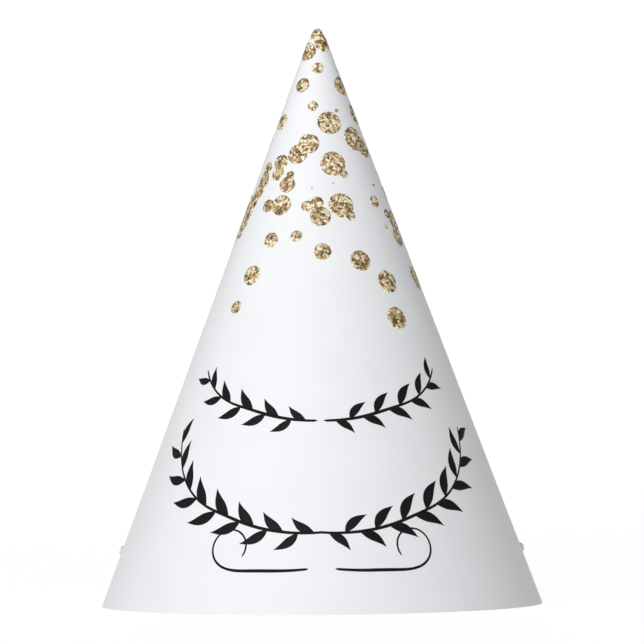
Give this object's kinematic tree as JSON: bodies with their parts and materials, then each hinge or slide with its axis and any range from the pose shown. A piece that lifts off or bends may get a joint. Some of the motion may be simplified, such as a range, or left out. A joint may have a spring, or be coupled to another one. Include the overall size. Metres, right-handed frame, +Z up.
{
  "type": "cone party hat",
  "caption": "Printed card cone hat, closed at the back by fold-in lock tabs, with a thin elastic chin cord knotted through punched holes near the brim.",
  "frame": {"origin": "middle of the brim, on the surface that the hat stands on", "axes": "+Z up along the cone's axis to the tip, -Y towards the hat's front, +X to the right of someone looking at its front; the seam is at +Y"},
  "size_m": [0.136, 0.1366, 0.1778],
  "materials": {
    "coated_card": "satin",
    "plain_card": "matte",
    "elastic": "matte"
  },
  "bodies": {
    "cone": {"card_cone": "coated_card", "elastic_cord": "elastic", "left_knot": "elastic", "right_knot": "elastic"},
    "lower_tab": {"lower_lock_tab": "plain_card"},
    "upper_tab": {"upper_lock_tab": "plain_card"}
  },
  "joints": [
    {"name": "lower_tab_fold", "type": "hinge", "parent": "cone", "child": "lower_tab", "pos_m": [0.00692, 0.05636, 0.02784], "axis": [0.0427, 0.3477, -0.9366], "range_deg": [0, 85]},
    {"name": "upper_tab_fold", "type": "hinge", "parent": "cone", "child": "upper_tab", "pos_m": [0.00372, 0.03029, 0.09808], "axis": [0.0427, 0.3477, -0.9366], "range_deg": [0, 85]}
  ]
}
